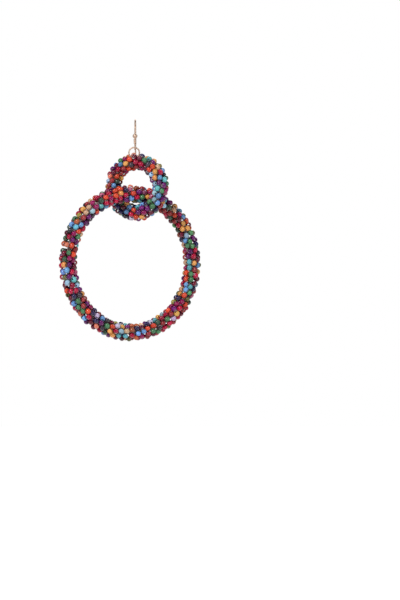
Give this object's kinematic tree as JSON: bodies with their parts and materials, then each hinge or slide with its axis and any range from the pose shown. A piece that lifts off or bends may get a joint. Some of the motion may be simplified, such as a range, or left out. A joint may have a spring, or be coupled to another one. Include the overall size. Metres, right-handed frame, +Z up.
{
  "type": "seed bead earring",
  "caption": "Drop earring: a French hook with ball, coil and jump ring carries a small hoop and a large hoop, interlinked, each wound with multicoloured seed beads.",
  "frame": {"origin": "underside of the hook's crown, where the wire lies in a pierced ear", "axes": "+Z up along the hanging earring, front towards -Y, +X to the viewer's right"},
  "size_m": [0.0666, 0.0391, 0.1065],
  "materials": {
    "rose_gold": "pale rose gold plate, polished and a little worn",
    "seed_beads": "glossy glass seed beads, opaque and transparent, in a random mix of colours",
    "core": "plain pale ring under the beads, of the colour of the thread"
  },
  "bodies": {
    "ear_hook": {"ear_wire": "rose_gold", "hook_ball": "rose_gold", "hook_coil": "rose_gold"},
    "upper_drop": {"jump_ring": "rose_gold", "small_ring_core": "core", "small_ring_beads": "seed_beads"},
    "lower_drop": {"large_ring_core": "core", "large_ring_beads": "seed_beads"}
  },
  "joints": [
    {"name": "drop_swing", "type": "hinge", "parent": "ear_hook", "child": "upper_drop", "pos_m": [0, -0.00475, -0.01316], "axis": [1, 0, 0], "range_deg": [-80, 38]},
    {"name": "ring_turn", "type": "hinge", "parent": "upper_drop", "child": "lower_drop", "pos_m": [0.0008, -0.00435, -0.0404], "axis": [0, 0, 1], "range_deg": [0, 60]}
  ]
}
